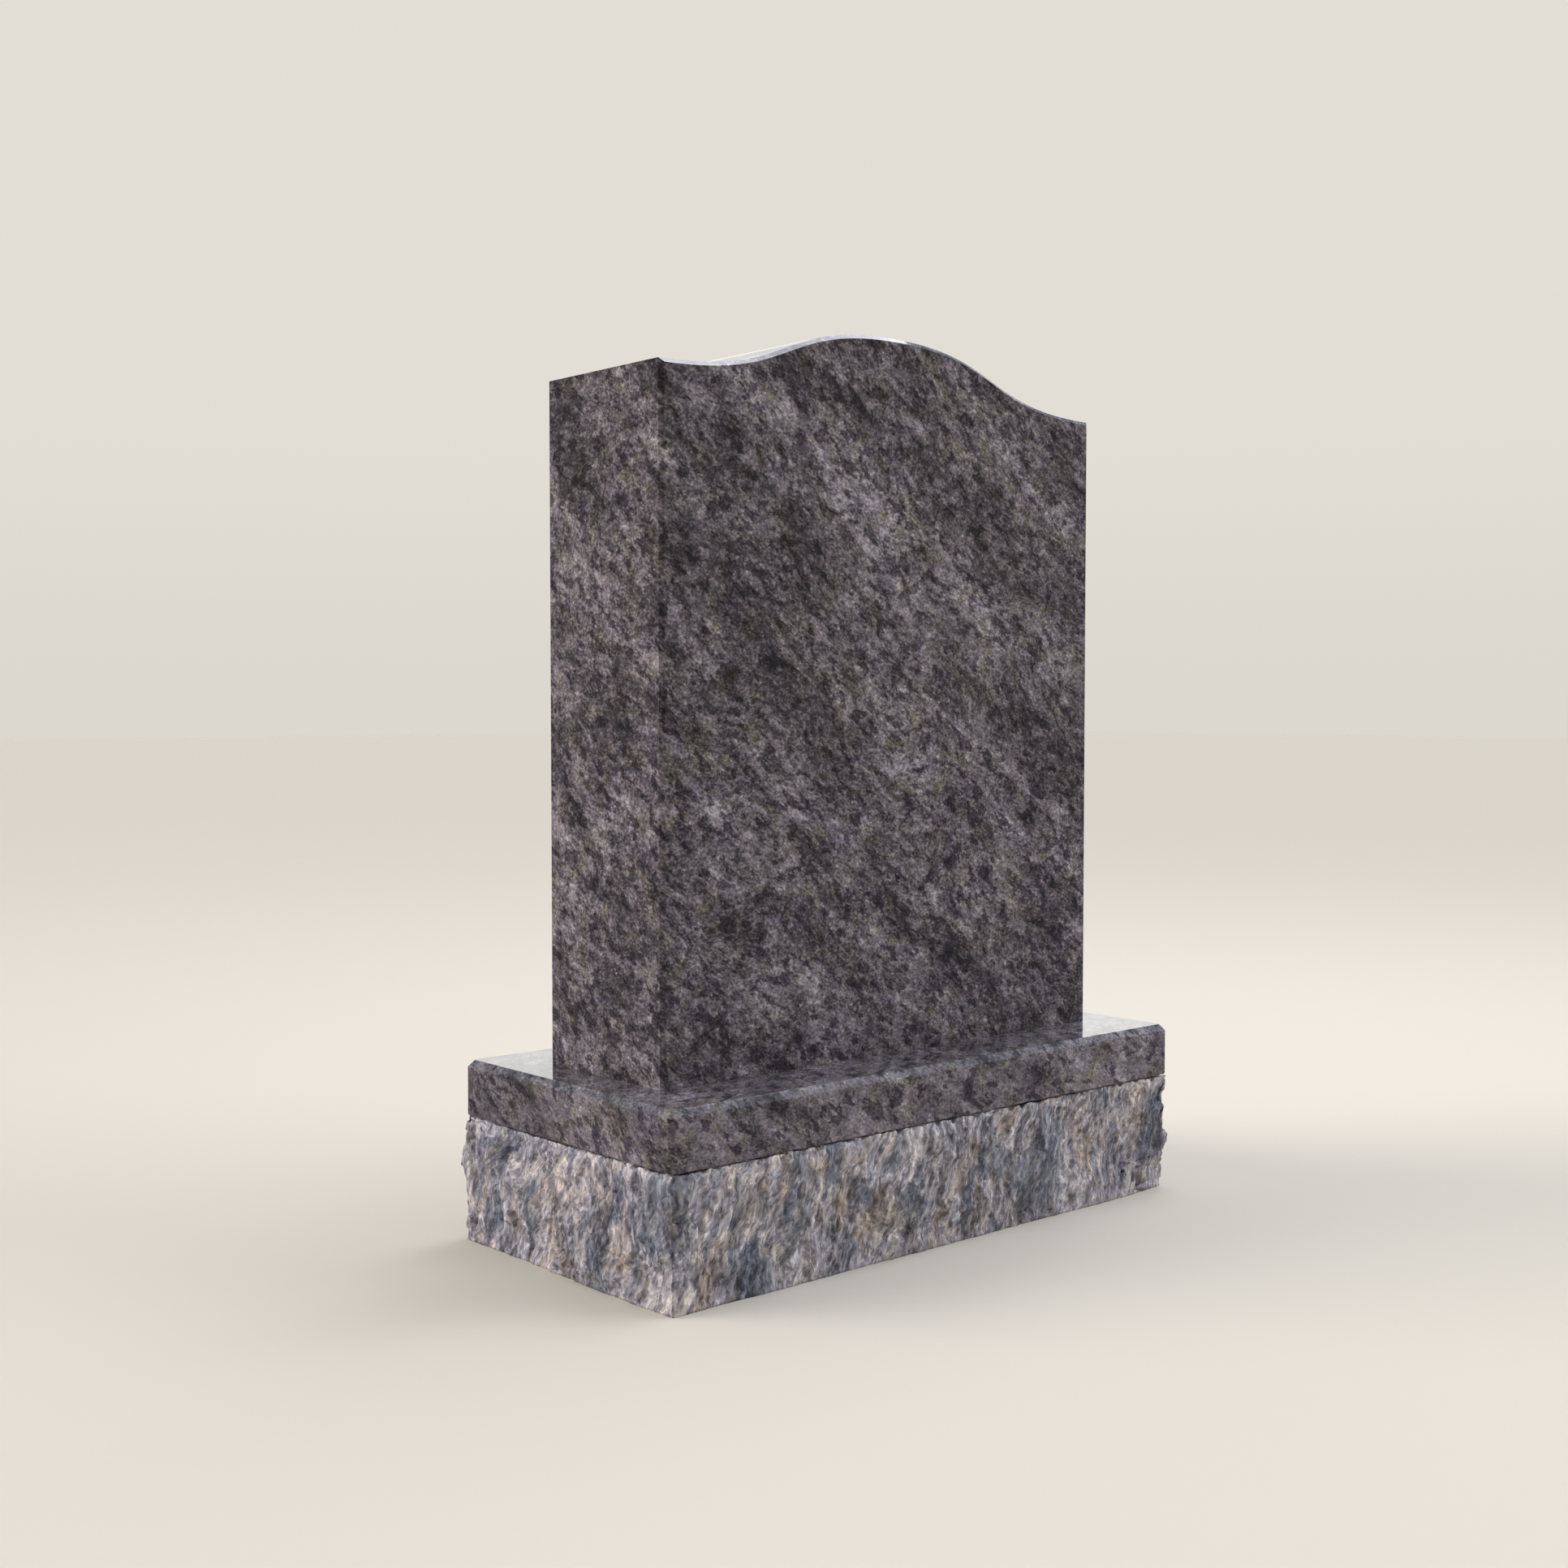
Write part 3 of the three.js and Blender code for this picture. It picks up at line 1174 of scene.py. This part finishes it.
    def build(self, finish: RockPitchedGranite) -> bpy.types.Object:
        """Builds and dresses the course.

        Args:
            finish: the stone's finish.

        Returns:
            The course.
        """
        material = finish.material()
        piece = self.cage()
        solid = self.solid()
        tree = self.relief_tree()
        modifier = piece.modifiers.new("pitched break", "NODES")
        modifier.node_group = tree
        values = self.sizes() | {"Solid": solid, "Finish": material}
        for item in tree.interface.items_tree:
            if item.in_out == "INPUT" and item.name in values:
                modifier[item.identifier] = values[item.name]
        settle(piece)
        bpy.data.objects.remove(solid)
        dress(piece, self.node, material)
        return piece


@dataclass
class Viewpoint:
    """The camera, where the photograph was taken from."""

    place: tuple[float, float, float] = (-1.3643, -1.4602, 0.5327)
    bearing: float = 41.51  # degrees to the right of straight ahead
    dip: float = 2.32  # degrees below level
    focal_pixels: float = 2348.5  # focal length in pixels of the photograph
    sensor: float = 36.0  # millimetres

    def build(self) -> None:
        """Builds the camera and makes it the scene's own."""
        camera = bpy.data.cameras.new("viewpoint")
        camera.sensor_width = self.sensor
        camera.lens = self.focal_pixels / PHOTO_SIDE * self.sensor
        viewer = bpy.data.objects.new("viewpoint", camera)
        viewer.location = self.place
        viewer.rotation_euler = (math.radians(90 - self.dip), 0.0, -math.radians(self.bearing))
        bpy.context.scene.collection.objects.link(viewer)
        bpy.context.scene.camera = viewer


class Throw(Enum):
    """How a lamp lights: a softbox close by, or a soft light so far off that it falls evenly."""

    NEAR = "AREA"
    FAR = "SUN"


@dataclass(frozen=True)
class Lamp:
    """A soft lamp, which faces the stone."""

    name: str
    throw: Throw
    place: tuple[float, float, float]
    spread: float  # a near lamp's width in metres, or a far one's in degrees
    strength: float  # a near lamp's watts, or a far one's for each square metre that it lights
    colour: str
    mirrored: bool  # whether the polish shows it

    def build(self) -> None:
        """Hangs the lamp."""
        light = bpy.data.lights.new(self.name, self.throw.value)
        if self.throw is Throw.NEAR:
            light.size = self.spread
        else:
            light.angle = math.radians(self.spread)
        light.energy = self.strength
        light.color = linear(self.colour)[:3]
        lamp = bpy.data.objects.new(self.name, light)
        lamp.location = self.place
        towards = Vector(LIT_PLACE) - Vector(self.place)
        lamp.rotation_euler = towards.to_track_quat("-Z", "Y").to_euler()
        lamp.visible_camera = False
        lamp.visible_glossy = self.mirrored
        bpy.context.scene.collection.objects.link(lamp)


@dataclass
class Studio:
    """A pale floor, four soft lamps and a room that is bright ahead and dark behind the camera."""

    floor_side: float = 60.0
    far_wall: float = 41.5  # bearing of the bright wall, degrees to the right of straight ahead
    lamps: tuple[Lamp, ...] = (
        Lamp("key", Throw.FAR, (-3.0, 2.3, 1.9), 42.0, 2.75, "#fff9fa", False),
        Lamp("fill", Throw.FAR, (2.6, -2.2, 1.7), 42.0, 1.4, "#fbfaff", False),
        Lamp("top", Throw.FAR, (0.3, -0.4, 3.2), 47.0, 0.85, "#c0daff", False),
        Lamp("rim", Throw.NEAR, (1.28, 0.12, 3.12), 1.6, 40.0, "#f4f3ff", True),
    )
    room_light: float = 0.74
    room_behind: float = 0.05  # light from the dark end of the room, behind the camera
    mirrored_light: float = 0.22  # what the polish shows of the room
    wall_light: float = 1.7
    upper_share: float = 0.6  # light from high on the far wall, against light from low on it
    sweep_share: float = 0.94  # how dark the backdrop is where it meets the floor
    behind_light: float = 0.12  # what the polish shows of the dark end behind the camera
    upper_light: float = 0.85  # what the polish shows of the bluish light high up
    room_colour: str = "#f7f6f4"
    mirrored_colour: str = "#f6f5f2"
    upper_colour: str = "#b2cad9"
    backdrop_colour: str = "#e2ded5"
    # Where one light passes into the next, as the upward share of a direction.
    wall_step: tuple[float, float] = (0.19, 0.27)
    upper_step: tuple[float, float] = (0.4, 0.6)
    sweep_step: tuple[float, float] = (0.0, 0.16)
    # The same, as the share of a direction that points to the far wall.
    wall_span: tuple[float, float] = (0.55, 0.9)
    mirror_span: tuple[float, float] = (-0.9, -0.5)
    room_span: tuple[float, float] = (-0.9, -0.4)

    def build(self) -> None:
        """Builds the floor, the lamps and the room."""
        self.floor()
        for lamp in self.lamps:
            lamp.build()
        self.room()
        bpy.context.scene.view_settings.view_transform = "Standard"

    def floor(self) -> None:
        """Lays the floor."""
        half = self.floor_side / 2
        mesh = bpy.data.meshes.new("floor")
        mesh.from_pydata(
            [(-half, -half, 0.0), (half, -half, 0.0), (half, half, 0.0), (-half, half, 0.0)],
            [],
            [(0, 1, 2, 3)],
        )
        mesh.materials.append(PaleFloor().material())
        floor = bpy.data.objects.new("floor", mesh)
        bpy.context.scene.collection.objects.link(floor)

    def room(self) -> None:
        """Makes the room: soft grey, with a bright wall far behind the stone and a dark end."""
        world = bpy.data.worlds.new("soft studio")
        world.use_nodes = True
        world.node_tree.nodes.clear()
        tree = Tree(world.node_tree)
        way = tree.add("ShaderNodeTexCoord").outputs["Generated"]
        bearing = math.radians(self.far_wall)
        ahead = tree.add(
            "ShaderNodeVectorMath",
            {"operation": "DOT_PRODUCT"},
            {0: way, 1: (math.sin(bearing), math.cos(bearing), 0.0)},
        ).outputs["Value"]
        height = tree.add("ShaderNodeSeparateXYZ", inputs={0: way}).outputs["Z"]
        levels = []
        for source, (start, full), low, high in (
            (height, self.wall_step, self.wall_light, self.wall_light * self.upper_share),
            (height, self.sweep_step, self.sweep_share, 1.0),
            (height, self.upper_step, 0.0, 1.0),
            (ahead, self.mirror_span, self.behind_light, self.mirrored_light),
            (ahead, self.room_span, self.room_behind, self.room_light),
        ):
            level = tree.add(
                "ShaderNodeMapRange",
                {"interpolation_type": "SMOOTHSTEP"},
                {"Value": source, 1: start, 2: full, 3: low, 4: high},
            )
            levels.append(level.outputs[0])
        wall, backdrop, height_share, sides, around = levels
        strength = tree.add(
            "ShaderNodeMapRange",
            {"interpolation_type": "SMOOTHSTEP"},
            {"Value": ahead, 1: self.wall_span[0], 2: self.wall_span[1], 3: sides, 4: wall},
        )
        room, mirrored, upper, seen = (
            tree.add(
                "ShaderNodeBackground", inputs={"Color": linear(colour), "Strength": light}
            ).outputs[0]
            for colour, light in (
                (self.room_colour, around),
                (self.mirrored_colour, strength.outputs[0]),
                (self.upper_colour, self.upper_light),
                (self.backdrop_colour, backdrop),
            )
        )
        mirrored = tree.add(
            "ShaderNodeMixShader", inputs={0: height_share, 1: mirrored, 2: upper}
        ).outputs[0]
        path = tree.add("ShaderNodeLightPath").outputs
        shown = tree.add(
            "ShaderNodeMixShader", inputs={0: path["Is Glossy Ray"], 1: room, 2: mirrored}
        )
        shown = tree.add(
            "ShaderNodeMixShader", inputs={0: path["Is Camera Ray"], 1: shown.outputs[0], 2: seen}
        )
        tree.add("ShaderNodeOutputWorld", inputs={"Surface": shown.outputs[0]})
        bpy.context.scene.world = world


def main() -> None:
    """Builds the studio and the three stones, and reports each piece."""
    logging.basicConfig(level=logging.INFO, format="%(name)s: %(message)s")
    Viewpoint().build()
    Studio().build()
    # Painted light: the slab's copy of the same granite is painted lighter and flatter than the
    # tablet's, which stands in for the light and reflection that fall on the slab.
    slab_granite_painted_lighter = PolishedGranite(
        name="polished granite of the slab, painted lighter", shift=(1.32, 0.89, 3.25), contrast=0.71, middle=0.585
    )
    tablet_granite = PolishedGranite(name="polished granite of the tablet")
    stones = (
        PitchedCourse().build(RockPitchedGranite()),
        Slab().build(slab_granite_painted_lighter),
        Tablet().build(tablet_granite),
    )
    for stone in stones:
        log.info("%s stands in place", stone.name)


if __name__ == "__main__":
    main()
